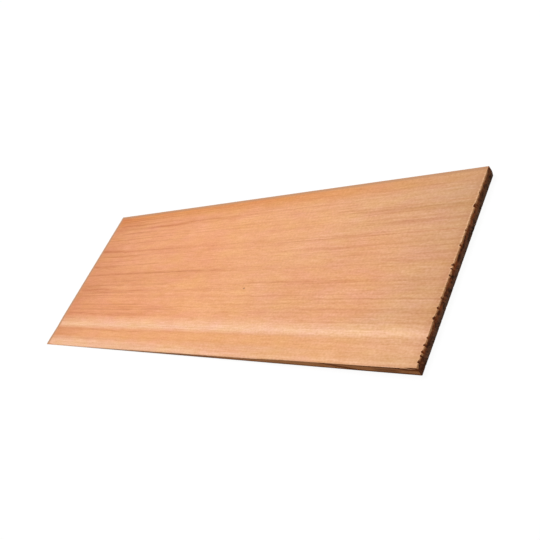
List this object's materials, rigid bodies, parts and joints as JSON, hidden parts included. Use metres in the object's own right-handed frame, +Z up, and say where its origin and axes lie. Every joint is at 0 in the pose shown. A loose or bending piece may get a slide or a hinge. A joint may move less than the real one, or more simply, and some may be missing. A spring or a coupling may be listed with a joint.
{
  "type": "wood shingle",
  "caption": "Taper-sawn cedar roof and wall shingle, a long flat wedge with a thick square butt, a feather-thin tip and a shallow hollow along one long edge.",
  "frame": {"origin": "middle of the flat back, on the floor the shingle lies on", "axes": "+X along the grain from the tip to the butt, +Y across the width towards the long edge without the hollow, +Z up out of the weather face"},
  "size_m": [0.61, 0.224, 0.0114],
  "materials": {
    "cedar": "matte"
  },
  "bodies": {
    "root": {"shingle": "cedar"}
  },
  "joints": []
}
